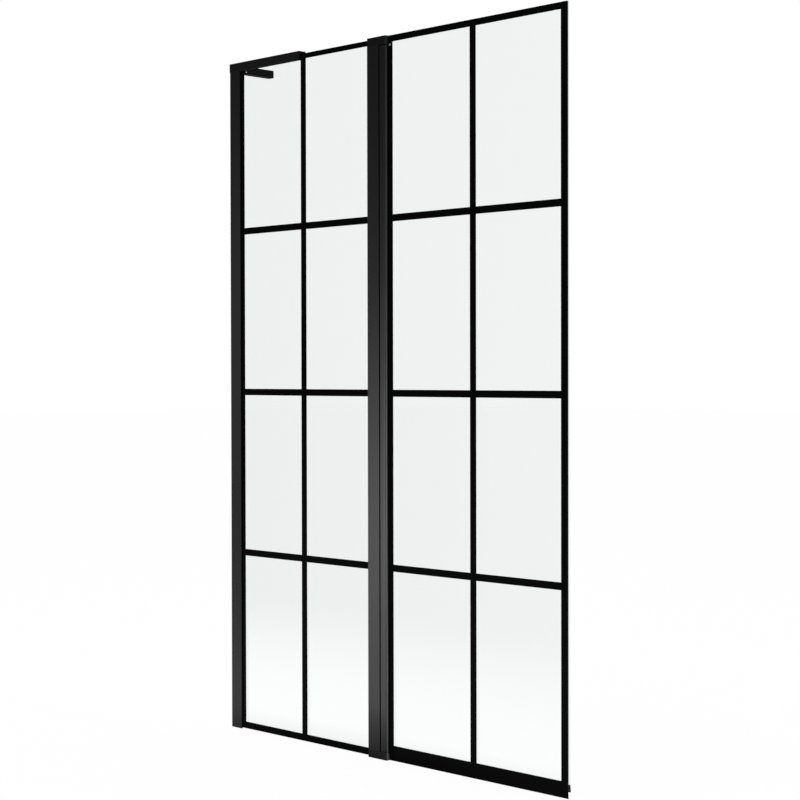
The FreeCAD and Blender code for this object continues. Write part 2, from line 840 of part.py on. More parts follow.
def stabiliser_rail():
    body = new_body("stabiliser_rail")
    sketch = sketch_on(body, "YZ_Plane")
    outline(sketch, rail_section("-rail_inner", "rail_inner", "rail_ceiling", "screen_height"))
    pad(body, sketch, "rail_end - rail_cap")
    window = sketch_on(body, "XZ_Plane", ("0", "0", "-rail_half"))
    rectangle(
        window,
        "leg_left - slip_gap",
        "arm_middle - leg_height / 2 - slip_gap",
        "leg_right + slip_gap",
        "arm_middle + leg_height / 2 + slip_gap",
    )
    rectangle(window, "wall_depth", "screen_height", "rail_end - rail_cap", "fixed_border_bottom")
    pocket(body, window, "rail_skin", reverse=True)


def rail_end_cap():
    body = new_body("rail_end_cap")
    sketch = sketch_on(body, "YZ_Plane", ("0", "0", "rail_end - rail_cap"))
    front = "-(bar_front + cap_slot_gap)"
    back = "glass_half + cap_slot_gap"
    ceiling = "fixed_glass_top + cap_slot_gap"
    outline(sketch, rail_section(front, back, ceiling, "fixed_border_bottom"))
    pad(body, sketch, "rail_cap")


def rail_gasket():
    body = new_body("rail_gasket")
    sketch = sketch_on(body, "YZ_Plane", ("0", "0", "rail_gasket_start"))
    section = [
        ("-rail_inner", "fixed_border_bottom"),
        ("-bar_front", "fixed_border_bottom"),
        ("-bar_front", "fixed_glass_top"),
        ("glass_half", "fixed_glass_top"),
        ("glass_half", "fixed_border_bottom"),
        ("rail_inner", "fixed_border_bottom"),
        ("rail_inner", "rail_ceiling"),
        ("-rail_inner", "rail_ceiling"),
    ]
    outline(sketch, section)
    pad(body, sketch, "rail_end - rail_cap - rail_gasket_start")


def corner_connector():
    # A block in the rail with a leg that plugs into the arm
    body = new_body("corner_connector")
    block = sketch_on(body, "YZ_Plane", ("0", "0", "connector_start"))
    side = "rail_inner - slide_gap"
    rectangle(block, f"-({side})", "screen_height", side, "rail_ceiling - slide_gap")
    pad(body, block, "fixed_glass_left - connector_gap - connector_start")
    leg = sketch_on(body, "XZ_Plane", ("0", "0", f"-({side})"))
    low = "arm_middle - leg_height / 2"
    rectangle(leg, "leg_left", low, "leg_right", f"{low} + leg_height")
    pad(body, leg, f"rail_half + leg_reach - ({side})", reverse=True)
    dimple = sketch_on(body, "YZ_Plane", ("0", "0", "leg_right"))
    circle(dimple, ("arm_screw_y", "arm_screw_z"), "arm_screw_radius + screw_hole_gap")
    pocket(body, dimple, "arm_screw_dimple")


def wall_arm():
    # A channel whose lips hook behind the strip on the wall
    body = new_body("wall_arm")
    sketch = sketch_on(body, "XZ_Plane", ("0", "0", "-rail_half"))
    section = [
        ("0", "arm_bottom"),
        ("arm_depth", "arm_bottom"),
        ("arm_depth", "arm_top"),
        ("0", "arm_top"),
        ("0", "arm_middle + arm_slot / 2"),
        ("arm_lip", "arm_middle + arm_slot / 2"),
        ("arm_lip", "arm_top - arm_skin"),
        ("arm_depth - arm_skin", "arm_top - arm_skin"),
        ("arm_depth - arm_skin", "arm_bottom + arm_skin"),
        ("arm_lip", "arm_bottom + arm_skin"),
        ("arm_lip", "arm_middle - arm_slot / 2"),
        ("0", "arm_middle - arm_slot / 2"),
    ]
    outline(sketch, section)
    pad(body, sketch, "arm_reach - arm_cap", reverse=True)
    screw_hole = sketch_on(body, "YZ_Plane", ("0", "0", "arm_depth"))
    circle(screw_hole, ("arm_screw_y", "arm_screw_z"), "arm_screw_radius + screw_hole_gap")
    pocket(body, screw_hole, "arm_skin")


def arm_end_cap():
    body = new_body("arm_end_cap")
    plate = sketch_on(body, "XZ_Plane", ("0", "0", "-(arm_end - arm_cap)"))
    rectangle(plate, "0", "arm_bottom", "arm_depth", "arm_top")
    pad(body, plate, "arm_cap", reverse=True)
    plug = sketch_on(body, "XZ_Plane", ("0", "0", "-(arm_end - arm_cap)"))
    inset = "arm_skin + slip_gap"
    rectangle(
        plug,
        "strip_thickness + slip_gap",
        f"arm_bottom + {inset}",
        "arm_depth - arm_skin - slip_gap",
        f"arm_top - ({inset})",
    )
    pad(body, plug, "arm_plug")


def arm_wall_strip():
    body = new_body("arm_wall_strip")
    sketch = sketch_on(body, "XZ_Plane", ("0", "0", "-strip_near"))
    step = "arm_lip + slip_gap"
    section = [
        ("0", "arm_middle - strip_foot / 2"),
        (step, "arm_middle - strip_foot / 2"),
        (step, "arm_middle - strip_head / 2"),
        ("strip_thickness", "arm_middle - strip_head / 2"),
        ("strip_thickness", "arm_middle + strip_head / 2"),
        (step, "arm_middle + strip_head / 2"),
        (step, "arm_middle + strip_foot / 2"),
        ("0", "arm_middle + strip_foot / 2"),
    ]
    outline(sketch, section)
    pad(body, sketch, "strip_length", reverse=True)
    holes = sketch_on(body, "YZ_Plane")
    for sign in ("-", "+"):
        centre = (f"strip_middle {sign} strip_hole_spacing / 2", "arm_middle")
        circle(holes, centre, "strip_hole_radius")
    pocket(body, holes, "strip_thickness", reverse=True)


def arm_lock_screw():
    body = new_body("arm_lock_screw")
    sketch = sketch_on(body, "XY_Plane", ("0", "arm_screw_y", "arm_screw_z"))
    tip = "leg_right - arm_screw_dimple"
    face = "arm_depth + screw_proud"
    section = [
        (tip, "0"),
        (face + " - socket_depth", "0"),
        (face + " - socket_depth", "socket_radius"),
        (face, "socket_radius"),
        (face, "arm_screw_radius"),
        (tip, "arm_screw_radius"),
    ]
    outline(sketch, section)
    turn(body, sketch, "H_Axis")


def build():
    fill_sheet()
    wall_profile()
    glazing_profile()
    profile_lock_screws()
    screw_cover_caps()
    fixed_glass_gasket()
    pane("fixed_glass", "fixed_glass_left", "fixed_glass_lift", "fixed_glass_right", "fixed_glass_top")
    fixed_bars()
    hinge_post()
    post_gasket()
    closing_seal()
    hinge_caps()
    hinge_cap_screws()
    pivots()
    pivot_profile()
    glazing_bead()
    panel_lock_screw()
    panel_glass_gasket()
    pane("panel_glass", "panel_glass_left", "panel_glass_lift", "free_edge", "panel_glass_top")
    panel_bars()
    bottom_seal()
    stabiliser_rail()
    rail_end_cap()
    rail_gasket()
    corner_connector()
    wall_arm()
    arm_end_cap()
    arm_wall_strip()
    arm_lock_screw()
    doc.recompute()


def check():
    for thing in doc.Objects:
        if "Invalid" in thing.State or "Error" in thing.State:
            raise RuntimeError(f"{thing.Name} failed to build")
    for body in bodies():
        if body.Shape.isNull() or not body.Shape.isValid():
            raise RuntimeError(f"{body.Label} has no valid shape")


def bodies():
    return [thing for thing in doc.Objects if thing.isDerivedFrom("PartDesign::Body")]


def export():
    os.makedirs("parts", exist_ok=True)
    for body in bodies():
        body.Shape.exportStep(f"parts/{body.Label}.step")
        box = body.Shape.BoundBox
        print(
            f"{body.Label}: {len(body.Shape.Solids)} solids,",
            f"x {box.XMin:.1f} to {box.XMax:.1f}, y {box.YMin:.1f} to {box.YMax:.1f},",
            f"z {box.ZMin:.1f} to {box.ZMax:.1f}",
        )


build()
check()
export()
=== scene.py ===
import json
import math

import bpy
import bmesh
from mathutils import Euler, Matrix, Vector


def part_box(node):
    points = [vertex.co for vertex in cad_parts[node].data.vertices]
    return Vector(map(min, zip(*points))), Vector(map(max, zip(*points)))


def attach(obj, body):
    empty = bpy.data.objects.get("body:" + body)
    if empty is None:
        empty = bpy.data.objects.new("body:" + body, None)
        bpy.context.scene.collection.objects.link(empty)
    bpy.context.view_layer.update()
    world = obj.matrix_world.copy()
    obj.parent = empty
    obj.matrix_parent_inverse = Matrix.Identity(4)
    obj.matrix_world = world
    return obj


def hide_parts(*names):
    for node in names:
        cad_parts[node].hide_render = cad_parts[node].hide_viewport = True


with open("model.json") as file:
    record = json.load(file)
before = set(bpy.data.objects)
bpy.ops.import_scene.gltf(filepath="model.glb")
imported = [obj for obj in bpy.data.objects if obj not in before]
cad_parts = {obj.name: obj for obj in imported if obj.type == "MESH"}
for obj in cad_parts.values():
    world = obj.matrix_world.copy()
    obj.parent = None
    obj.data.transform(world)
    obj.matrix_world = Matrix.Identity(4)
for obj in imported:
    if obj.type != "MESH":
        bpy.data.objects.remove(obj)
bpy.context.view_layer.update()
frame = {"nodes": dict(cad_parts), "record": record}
nodes = frame["nodes"]
scene = bpy.context.scene
scene.view_settings.view_transform = "Standard"
print("frame loaded:", len(nodes), "nodes")


def linearColour(code):
    channels = [int(code[i : i + 2], 16) / 255 for i in (1, 3, 5)]
    return (*[c / 12.92 if c <= 0.04045 else ((c + 0.055) / 1.055) ** 2.4 for c in channels], 1.0)


def addNode(tree, kind, inputs=None, **settings):
    node = tree.nodes.new(kind)
    for name, value in settings.items():
        setattr(node, name, value)
    for socket, value in (inputs or {}).items():
        if isinstance(value, bpy.types.NodeSocket):
            tree.links.new(value, node.inputs[socket])
        else:
            node.inputs[socket].default_value = value
    return node


def metres(millimetres):
    return millimetres / 1000


def perMetre(millimetres):
    return 1000 / millimetres


firstColour, secondColour, mixedColour = 6, 7, 2  # the Mix node's colour sockets, which share names


def startMaterial(name):
    material = bpy.data.materials.new(name)
    material.use_nodes = True
    tree = material.node_tree
    tree.nodes.clear()
    shader = addNode(tree, "ShaderNodeBsdfPrincipled")
    addNode(tree, "ShaderNodeOutputMaterial", {"Surface": shader.outputs[0]})
    place = addNode(tree, "ShaderNodeTexCoord").outputs["Object"]
    return material, tree, shader, place


def varySurface(tree, shader, pattern, look):
    # colour and gloss both follow the pattern
    first, second = [linearColour(code) for code in look["colours"]]
    colour = addNode(
        tree,
        "ShaderNodeMix",
        {0: pattern, firstColour: first, secondColour: second},
        data_type="RGBA",
    )
    gloss = addNode(
        tree,
        "ShaderNodeMapRange",
        {"Value": pattern, "To Min": look["gloss"][0], "To Max": look["gloss"][1]},
    )
    tree.links.new(colour.outputs[mixedColour], shader.inputs["Base Color"])
    tree.links.new(gloss.outputs[0], shader.inputs["Roughness"])
    return colour.outputs[mixedColour]


def raiseSurface(tree, shader, pattern, look):
    # the surface rises and falls with the pattern
    bump = addNode(
        tree,
        "ShaderNodeBump",
        {
            "Height": pattern,
            "Strength": look["reliefStrength"],
            "Distance": metres(look["reliefMm"]),
        },
    )
    tree.links.new(bump.outputs[0], shader.inputs["Normal"])


# Extruded aluminium with a baked black powder coat: a soft satin black, evenly matt, with the
# faint pebble of melted powder and slow drifts of gloss where the coat ran thicker.
powderCoat = {
    "colours": ("#060607", "#09090a"),  # thin and thick coat
    "gloss": (0.47, 0.41),
    "driftMm": 140,
    "driftDetail": 3.0,
    "pebbleMm": 1.2,  # real pebble is near 0.5 mm, drawn coarser to show
    "pebbleDetail": 2.0,
    "reliefMm": 0.02,
    "reliefStrength": 0.5,
}


def powderCoatedAluminium(look):
    material, tree, shader, place = startMaterial("powderCoatedAluminium")
    drift, pebble = [
        addNode(
            tree,
            "ShaderNodeTexNoise",
            {
                "Vector": place,
                "Scale": perMetre(look[f"{pattern}Mm"]),
                "Detail": look[f"{pattern}Detail"],
            },
        )
        for pattern in ("drift", "pebble")
    ]
    varySurface(tree, shader, drift.outputs[0], look)
    raiseSurface(tree, shader, pebble.outputs[0], look)
    return material


# Flat aluminium bar under a deep matt black coat: it swallows light, so it stays nearly black.
barCoat = {
    "colours": ("#020202", "#050505"),  # fresh and worn coat
    "gloss": (0.55, 0.7),
    "specular": 0.07,
    "grainMm": 0.9,  # real grain is near 0.3 mm, drawn coarser to show
    "grainDetail": 3.0,
    "reliefMm": 0.01,
    "reliefStrength": 0.4,
}


def mattCoatedBar(look):
    material, tree, shader, place = startMaterial("mattCoatedBar")
    grain = addNode(
        tree,
        "ShaderNodeTexNoise",
        {"Vector": place, "Scale": perMetre(look["grainMm"]), "Detail": look["grainDetail"]},
    )
    varySurface(tree, shader, grain.outputs[0], look)
    raiseSurface(tree, shader, grain.outputs[0], look)
    shader.inputs["Specular IOR Level"].default_value = look["specular"]
    return material


# Toughened float glass: clear with a breath of grey green that gathers in its depth, and a slow
# wave from the furnace rollers that bends reflections a little.
glassLook = {
    "colour": "#fdfffe",
    "depthColour": "#dfeee8",
    "depthPerMetre": 14.0,
    "ior": 1.52,
    "waveMm": 260,
    "waveDistortion": 1.0,
    "reliefMm": 0.01,
    "reliefStrength": 0.2,
}
waveTurn = 2 * math.pi / 20  # the wave texture's scale for one band in each metre


def toughenedClearGlass(look):
    material, tree, shader, place = startMaterial("toughenedClearGlass")
    shader.inputs["Base Color"].default_value = linearColour(look["colour"])
    shader.inputs["Transmission Weight"].default_value = 1.0
    shader.inputs["IOR"].default_value = look["ior"]
    shader.inputs["Roughness"].default_value = 0.0
    wave = addNode(
        tree,
        "ShaderNodeTexWave",
        {
            "Vector": place,
            "Scale": perMetre(look["waveMm"]) * waveTurn,
            "Distortion": look["waveDistortion"],
        },
        bands_direction="Z",
    )
    raiseSurface(tree, shader, wave.outputs[0], look)
    depth = addNode(
        tree,
        "ShaderNodeVolumeAbsorption",
        {"Color": linearColour(look["depthColour"]), "Density": look["depthPerMetre"]},
    )
    output = next(n for n in tree.nodes if n.type == "OUTPUT_MATERIAL")
    tree.links.new(depth.outputs[0], output.inputs["Volume"])
    return material


# Ground glass edge: the wheel leaves it frosted, so it scatters light and looks pale, with fine
# scratches. No light comes in through the black bar in front or the seal's clip below, so there
# the edge's colour is painted dark: painted shade.
groundLook = {
    "colours": ("#f8fbfa", "#edf4f1"),  # frosting and scratches
    "shadeColour": "#0c0f0e",
    "gloss": (0.55, 0.75),
    "scratchMm": 1.5,
    "scratchDetail": 4.0,
    "barShade": (-0.0024, -0.0008),  # dark beside the front face, pale from the middle on
    "clipShade": (0.026, 0.0275),  # dark up to the top of the clip's back leg
}


def groundGlassEdge(look):
    material, tree, shader, place = startMaterial("groundGlassEdge")
    scratches = addNode(
        tree,
        "ShaderNodeTexNoise",
        {"Vector": place, "Scale": perMetre(look["scratchMm"]), "Detail": look["scratchDetail"]},
    )
    frosted = varySurface(tree, shader, scratches.outputs[0], look)
    along = addNode(tree, "ShaderNodeSeparateXYZ", {0: place}).outputs
    shades = []
    for axis, name in (("Y", "barShade"), ("Z", "clipShade")):
        dark, pale = look[name]
        ends = {"From Min": dark, "From Max": pale, "To Min": 1.0, "To Max": 0.0}
        shades.append(addNode(tree, "ShaderNodeMapRange", {"Value": along[axis], **ends}))
    shade = addNode(
        tree,
        "ShaderNodeMath",
        {0: shades[0].outputs[0], 1: shades[1].outputs[0]},
        operation="MAXIMUM",
    )
    # painted shade: the frosting turns to the dark colour beside the bar and in the clip
    shaded = addNode(
        tree,
        "ShaderNodeMix",
        {
            0: shade.outputs[0],
            firstColour: frosted,
            secondColour: linearColour(look["shadeColour"]),
        },
        data_type="RGBA",
    )
    tree.links.new(shaded.outputs[mixedColour], shader.inputs["Base Color"])
    return material


# Extruded black rubber: soft and dry, with a dusty bloom in small faint patches.
rubberLook = {
    "colours": ("#030303", "#070707"),  # clean rubber and bloom
    "gloss": (0.5, 0.66),
    "specular": 0.06,
    "bloomMm": 2.0,
    "bloomDetail": 4.0,
    "reliefMm": 0.02,
    "reliefStrength": 0.3,
}


def extrudedRubber(look):
    material, tree, shader, place = startMaterial("extrudedRubber")
    bloom = addNode(
        tree,
        "ShaderNodeTexNoise",
        {"Vector": place, "Scale": perMetre(look["bloomMm"]), "Detail": look["bloomDetail"]},
    )
    varySurface(tree, shader, bloom.outputs[0], look)
    raiseSurface(tree, shader, bloom.outputs[0], look)
    shader.inputs["Specular IOR Level"].default_value = look["specular"]
    return material


# Moulded plastic: the fine even grain of a spark-eroded mould, a little duller than the coat on
# the ABS caps and smoother on the acetal bushes.
mouldGrain = {
    "grainMm": 0.8,  # real grain is near 0.2 mm, drawn coarser to show
    "reliefMm": 0.03,
    "reliefStrength": 0.3,
    "specular": 0.4,
}
mouldedLook = {
    "mouldedAbs": {"colours": ("#060607", "#0b0b0c"), "gloss": (0.5, 0.6), **mouldGrain},
    "mouldedAcetal": {"colours": ("#141414", "#1c1c1c"), "gloss": (0.34, 0.44), **mouldGrain},
}


def mouldedPlastic(name, look):
    material, tree, shader, place = startMaterial(name)
    grain = addNode(
        tree, "ShaderNodeTexVoronoi", {"Vector": place, "Scale": perMetre(look["grainMm"])}
    )
    varySurface(tree, shader, grain.outputs[0], look)
    raiseSurface(tree, shader, grain.outputs[0], look)
    shader.inputs["Specular IOR Level"].default_value = look["specular"]
    return material


# Bare metal: turned stainless screws are bright with a fine mottle, and mill aluminium is greyer
# and duller with a coarser one.
bareLook = {
    "turnedStainless": {"colours": ("#c9c7c3", "#b4b2ae"), "gloss": (0.22, 0.34), "mottleMm": 0.4},
    "millAluminium": {"colours": ("#b9bbbd", "#a3a5a8"), "gloss": (0.34, 0.46), "mottleMm": 0.8},
    "mottleDetail": 3.0,
}


def bareMetal(name, look, detail):
    material, tree, shader, place = startMaterial(name)
    mottle = addNode(
        tree,
        "ShaderNodeTexNoise",
        {"Vector": place, "Scale": perMetre(look["mottleMm"]), "Detail": detail},
    )
    varySurface(tree, shader, mottle.outputs[0], look)
    shader.inputs["Metallic"].default_value = 1.0
    return material


finishes = {
    "black_aluminium": powderCoatedAluminium(powderCoat),
    "black_bars": mattCoatedBar(barCoat),
    "clear_glass": toughenedClearGlass(glassLook),
    "black_rubber": extrudedRubber(rubberLook),
}
for slot, name in (("black_plastic", "mouldedAbs"), ("bush_plastic", "mouldedAcetal")):
    finishes[slot] = mouldedPlastic(name, mouldedLook[name])
for slot, name in (("stainless", "turnedStainless"), ("plain_aluminium", "millAluminium")):
    finishes[slot] = bareMetal(name, bareLook[name], bareLook["mottleDetail"])

for subpart in frame["record"]["subparts"]:
    for slot in nodes[subpart["node"]].material_slots:
        slot.material = finishes[subpart["material_slot"]]
print("finishes on:", ", ".join(sorted(finishes)))


def startTree(name, inputs):
    tree = bpy.data.node_groups.new(name, "GeometryNodeTree")
    tree.is_modifier = True
    tree.interface.new_socket("Geometry", in_out="INPUT", socket_type="NodeSocketGeometry")
    for label, kind in inputs.items():
        tree.interface.new_socket(label, in_out="INPUT", socket_type=f"NodeSocket{kind}")
    tree.interface.new_socket("Geometry", in_out="OUTPUT", socket_type="NodeSocketGeometry")
    return tree, addNode(tree, "NodeGroupInput").outputs


def addTree(piece, tree, values):
    modifier = piece.modifiers.new(tree.name, "NODES")
    modifier.node_group = tree
    sockets = [item for item in tree.interface.items_tree if item.in_out == "INPUT"]
    keys = {item.name: item.identifier for item in sockets}
    for label, value in values.items():
        modifier[keys[label]] = value


def plainPiece(name, tree, values, body, replaced=(), lines=()):
    # run the tree once, on lines where it follows any, and keep a plain mesh at the origin
    start = bpy.data.meshes.new(f"{name}Seed")
    points = [point for line in lines for point in line]
    start.from_pydata(points, [(i, i + 1) for i in range(0, len(points), 2)], [])
    seed = bpy.data.objects.new(f"{name}Seed", start)
    scene.collection.objects.link(seed)
    addTree(seed, tree, values)
    evaluated = seed.evaluated_get(bpy.context.evaluated_depsgraph_get())
    mesh = bpy.data.meshes.new_from_object(evaluated)
    bpy.data.objects.remove(seed)
    mesh.name = name
    return setPiece(bpy.data.objects.new(name, mesh), body, replaced)


def setPiece(piece, body, replaced=()):
    scene.collection.objects.link(piece)
    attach(piece, body)
    if replaced:
        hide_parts(*replaced)
    return piece


# Ground edges: each face of a pane that turns away from its flat sides gets the frosted finish.
groundEdges = {"panes": ("fixed_glass", "panel_glass"), "flatness": 0.9}


def groundEdgeTree(finish):
    tree, given = startTree("groundEdges", {"Flatness": "Float"})
    normal = addNode(tree, "GeometryNodeInputNormal")
    across = addNode(tree, "ShaderNodeSeparateXYZ", {0: normal.outputs[0]})
    turned = addNode(tree, "ShaderNodeMath", {0: across.outputs["Y"]}, operation="ABSOLUTE")
    edge = addNode(
        tree,
        "FunctionNodeCompare",
        {0: turned.outputs[0], 1: given["Flatness"]},
        data_type="FLOAT",
        operation="LESS_THAN",
    )
    dressed = addNode(
        tree,
        "GeometryNodeSetMaterial",
        {"Geometry": given["Geometry"], "Selection": edge.outputs[0], "Material": finish},
    )
    addNode(tree, "NodeGroupOutput", {0: dressed.outputs[0]})
    return tree


edgeTree = groundEdgeTree(groundGlassEdge(groundLook))
for name in groundEdges["panes"]:
    addTree(nodes[name], edgeTree, {"Flatness": groundEdges["flatness"]})
print("ground edges on:", ", ".join(groundEdges["panes"]))

# Softened edges: extrusions and mouldings have no knife edges, and the small round catches light.
softEdges = {
    "widthMm": {
        "wall_profile": 0.5,
        "hinge_post": 0.6,
        "pivot_profile": 0.5,
        "top_hinge_cap": 0.7,
        "bottom_hinge_cap": 0.7,
        "stabiliser_rail": 0.5,
        "rail_end_cap": 0.4,
        "wall_arm": 0.5,
        "arm_end_cap": 0.5,
    },
    "weldMm": 0.01,
    "flatDeg": 0.5,
    "edgeDeg": 40,
    "segments": 2,
}
for name, widthMm in softEdges["widthMm"].items():
    modifiers = nodes[name].modifiers
    weld = modifiers.new("weld", "WELD")
    weld.merge_threshold = metres(softEdges["weldMm"])
    flatten = modifiers.new("flatten", "DECIMATE")
    flatten.decimate_type = "DISSOLVE"
    flatten.angle_limit = math.radians(softEdges["flatDeg"])
    soften = modifiers.new("soften", "BEVEL")
    soften.width = metres(widthMm)
    soften.segments = softEdges["segments"]
    soften.limit_method = "ANGLE"
    soften.angle_limit = math.radians(softEdges["edgeDeg"])
    even = modifiers.new("even", "WEIGHTED_NORMAL")  # long rounds shade level from end to end
    even.mode = "FACE_AREA"
    even.keep_sharp = True
print("edges softened on:", len(softEdges["widthMm"]), "nodes")

# Turned screws: a body of rings, with a recess that narrows a little towards its floor.
turnedScrew = {"steps": 32, "recessTaper": 0.8, "sharpDeg": 30}


def recessedScrew(name, profile, recess, depth):
    # rings from (radius, height) pairs, with the recess let into the last one
    steps, taper = turnedScrew["steps"], turnedScrew["recessTaper"]
    turns = [2 * math.pi * i / steps for i in range(steps)]
    bm = bmesh.new()
    rings = [
        [bm.verts.new((radius * math.cos(t), radius * math.sin(t), height)) for t in turns]
        for radius, height in profile
    ]
    for low, high in zip(rings, rings[1:]):
        for i in range(steps):
            j = (i + 1) % steps
            bm.faces.new((low[i], low[j], high[j], high[i]))
    bm.faces.new(reversed(rings[0]))
    top = profile[-1][1]
    mouth = [bm.verts.new((x, y, top)) for x, y in recess]
    floor = [bm.verts.new((taper * x, taper * y, top - depth)) for x, y in recess]
    loops = []
    for ring in (rings[-1], mouth):
        for one, two in zip(ring, ring[1:] + ring[:1]):
            loops.append(bm.edges.get((one, two)) or bm.edges.new((one, two)))
    bmesh.ops.triangle_fill(bm, use_beauty=True, edges=loops)
    for i in range(len(mouth)):
        j = (i + 1) % len(mouth)
        bm.faces.new((mouth[i], mouth[j], floor[j], floor[i]))
    bm.faces.new(floor)
    bmesh.ops.recalc_face_normals(bm, faces=bm.faces)
    for face in bm.faces:
        face.smooth = True
    mesh = bpy.data.meshes.new(name)
    bm.to_mesh(mesh)
    bm.free()
    mesh.set_sharp_from_angle(angle=math.radians(turnedScrew["sharpDeg"]))
    return bpy.data.objects.new(name, mesh)


def crossOutline(reach, half):
    arm = [(reach, -half), (reach, half), (half, half)]
    return [
        (x * math.cos(q) - y * math.sin(q), x * math.sin(q) + y * math.cos(q))
        for q in (0, math.pi / 2, math.pi, 1.5 * math.pi)
        for x, y in arm
    ]


def hexOutline(radius):
    turns = [math.pi * i / 3 for i in range(6)]
    return [(radius * math.cos(t), radius * math.sin(t)) for t in turns]


# Cap screws: domed stainless heads with a cross recess, a pair in each cap, each turned at random.
capScrew = {
    "headRadius": 0.0034,
    "headHeight": 0.0026,
    "dome": ((1.0, -0.5), (0.92, -0.2), (0.7, 0.0)),  # shares of head radius and height
    "shankRadius": 0.00175,
    "length": 0.033,
    "tipLength": 0.001,
    "tipShare": 0.6,  # of the shank's radius
    "crossReach": 0.0019,
    "crossHalf": 0.00045,
    "crossDepth": 0.0013,
    "seed": 4,
}


def capScrewTree():
    sizes = {label: "Float" for label in ("Middle", "Spread", "Top", "Foot")}
    tree, given = startTree(
        "capScrews", {"Screw": "Object", **sizes, "Seed": "Int", "Finish": "Material"}
    )
    source = addNode(tree, "GeometryNodeObjectInfo", {"Object": given["Screw"]})
    twist = addNode(
        tree,
        "FunctionNodeRandomValue",
        {2: 0.0, 3: 2 * math.pi, "Seed": given["Seed"]},
        data_type="FLOAT",
    )
    other = addNode(tree, "ShaderNodeMath", {0: given["Spread"], 1: -1.0}, operation="MULTIPLY")
    both = addNode(tree, "GeometryNodeJoinGeometry")
    for level, flip in (("Foot", math.pi), ("Top", 0.0)):
        ends = [
            addNode(
                tree, "ShaderNodeCombineXYZ", {"X": given["Middle"], "Y": side, "Z": given[level]}
            )
            for side in (other.outputs[0], given["Spread"])
        ]
        pair = addNode(
            tree,
            "GeometryNodeMeshLine",
            {"Count": 2, "Start Location": ends[0].outputs[0], "Offset": ends[1].outputs[0]},
            mode="END_POINTS",
        )
        turned = addNode(tree, "ShaderNodeCombineXYZ", {"X": flip, "Z": twist.outputs[1]})
        placed = addNode(
            tree,
            "GeometryNodeInstanceOnPoints",
            {
                "Points": pair.outputs[0],
                "Instance": source.outputs["Geometry"],
                "Rotation": turned.outputs[0],
            },
        )
        tree.links.new(placed.outputs[0], both.inputs[0])
    solid = addNode(tree, "GeometryNodeRealizeInstances", {0: both.outputs[0]})
    finished = addNode(
        tree,
        "GeometryNodeSetMaterial",
        {"Geometry": solid.outputs[0], "Material": given["Finish"]},
    )
    addNode(tree, "NodeGroupOutput", {0: finished.outputs[0]})
    return tree


def capScrews(look):
    low, high = [Vector(corner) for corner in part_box("hinge_cap_screws")]
    head, thick, shank = look["headRadius"], look["headHeight"], look["shankRadius"]
    profile = [
        (look["tipShare"] * shank, -look["length"]),
        (shank, look["tipLength"] - look["length"]),
        (shank, -thick),
        (head, -thick),
        *[(wide * head, up * thick) for wide, up in look["dome"]],
    ]
    cross = crossOutline(look["crossReach"], look["crossHalf"])
    screw = recessedScrew("capScrewPattern", profile, cross, look["crossDepth"])
    scene.collection.objects.link(screw)
    values = {
        "Screw": screw,
        "Middle": (low.x + high.x) / 2,
        "Spread": high.y - head,
        "Top": high.z,
        "Foot": low.z,
        "Seed": look["seed"],
        "Finish": finishes["stainless"],
    }
    piece = plainPiece(
        "capScrews", capScrewTree(), values, "frame", ["hinge_cap_screws"]
    )
    bpy.data.objects.remove(screw)
    return piece


# Lock screws: a grub screw in the bead and a button head on the arm, both stainless with a
# hexagon socket.
beadScrew = {
    "radius": 0.002,
    "length": 0.0019,
    "rim": 0.0003,
    "hexRadius": 0.00125,
    "hexDepth": 0.001,
}
armScrew = {
    "radius": 0.0019,
    "length": 0.004,
    "tipShare": 0.8,  # of the shank's radius
    "headRadius": 0.003,
    "headHeight": 0.0014,
    "domeDeg": (0, 12, 24, 36, 48, 60),
    "proud": 0.0002,  # the arm's face lies this much behind the end of the solid screw
    "hexRadius": 0.00125,
    "hexDepth": 0.001,
}


def grubProfile(look):
    radius, rim, length = look["radius"], look["rim"], look["length"]
    return [(radius - rim, -length), (radius, rim - length), (radius, -rim), (radius - rim, 0.0)]


def buttonProfile(look):
    head, seat = look["headRadius"], -look["proud"]
    dome = [
        (head * math.cos(t), seat + look["headHeight"] * math.sin(t))
        for t in [math.radians(degrees) for degrees in look["domeDeg"]]
    ]
    return [(look["tipShare"] * look["radius"], -look["length"]), (look["radius"], seat), *dome]


def lockScrewPiece(name, node, body, turn, profile, look):
    piece = recessedScrew(name, profile, hexOutline(look["hexRadius"]), look["hexDepth"])
    low, high = [Vector(corner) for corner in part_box(node)]
    outward = turn @ Vector((0, 0, 1))
    middle = (low + high) / 2
    reach = Vector([abs(a) * (h - l) / 2 for a, h, l in zip(outward, high, low)]).length
    piece.data.transform(Matrix.Translation(middle + outward * reach) @ turn.to_4x4())
    piece.data.materials.append(finishes["stainless"])
    return setPiece(piece, body, [node])


facingFront = Matrix.Rotation(math.radians(90), 3, "X")
facingOut = Matrix.Rotation(math.radians(90), 3, "Y")
beadProfile, armProfile = grubProfile(beadScrew), buttonProfile(armScrew)
screws = [
    capScrews(capScrew),
    lockScrewPiece(
        "beadLockScrew", "panel_lock_screw", "panel", facingFront, beadProfile, beadScrew
    ),
    lockScrewPiece("armLockScrew", "arm_lock_screw", "frame", facingOut, armProfile, armScrew),
]
print("screws made:", ", ".join(piece.name for piece in screws))

# Gasket lips: a thin round of rubber where each profile meets the wet side of the glass.
gasketLips = {"frameRadius": 0.0011, "panelRadius": 0.0006, "glassFace": 0.003, "resolution": 12}


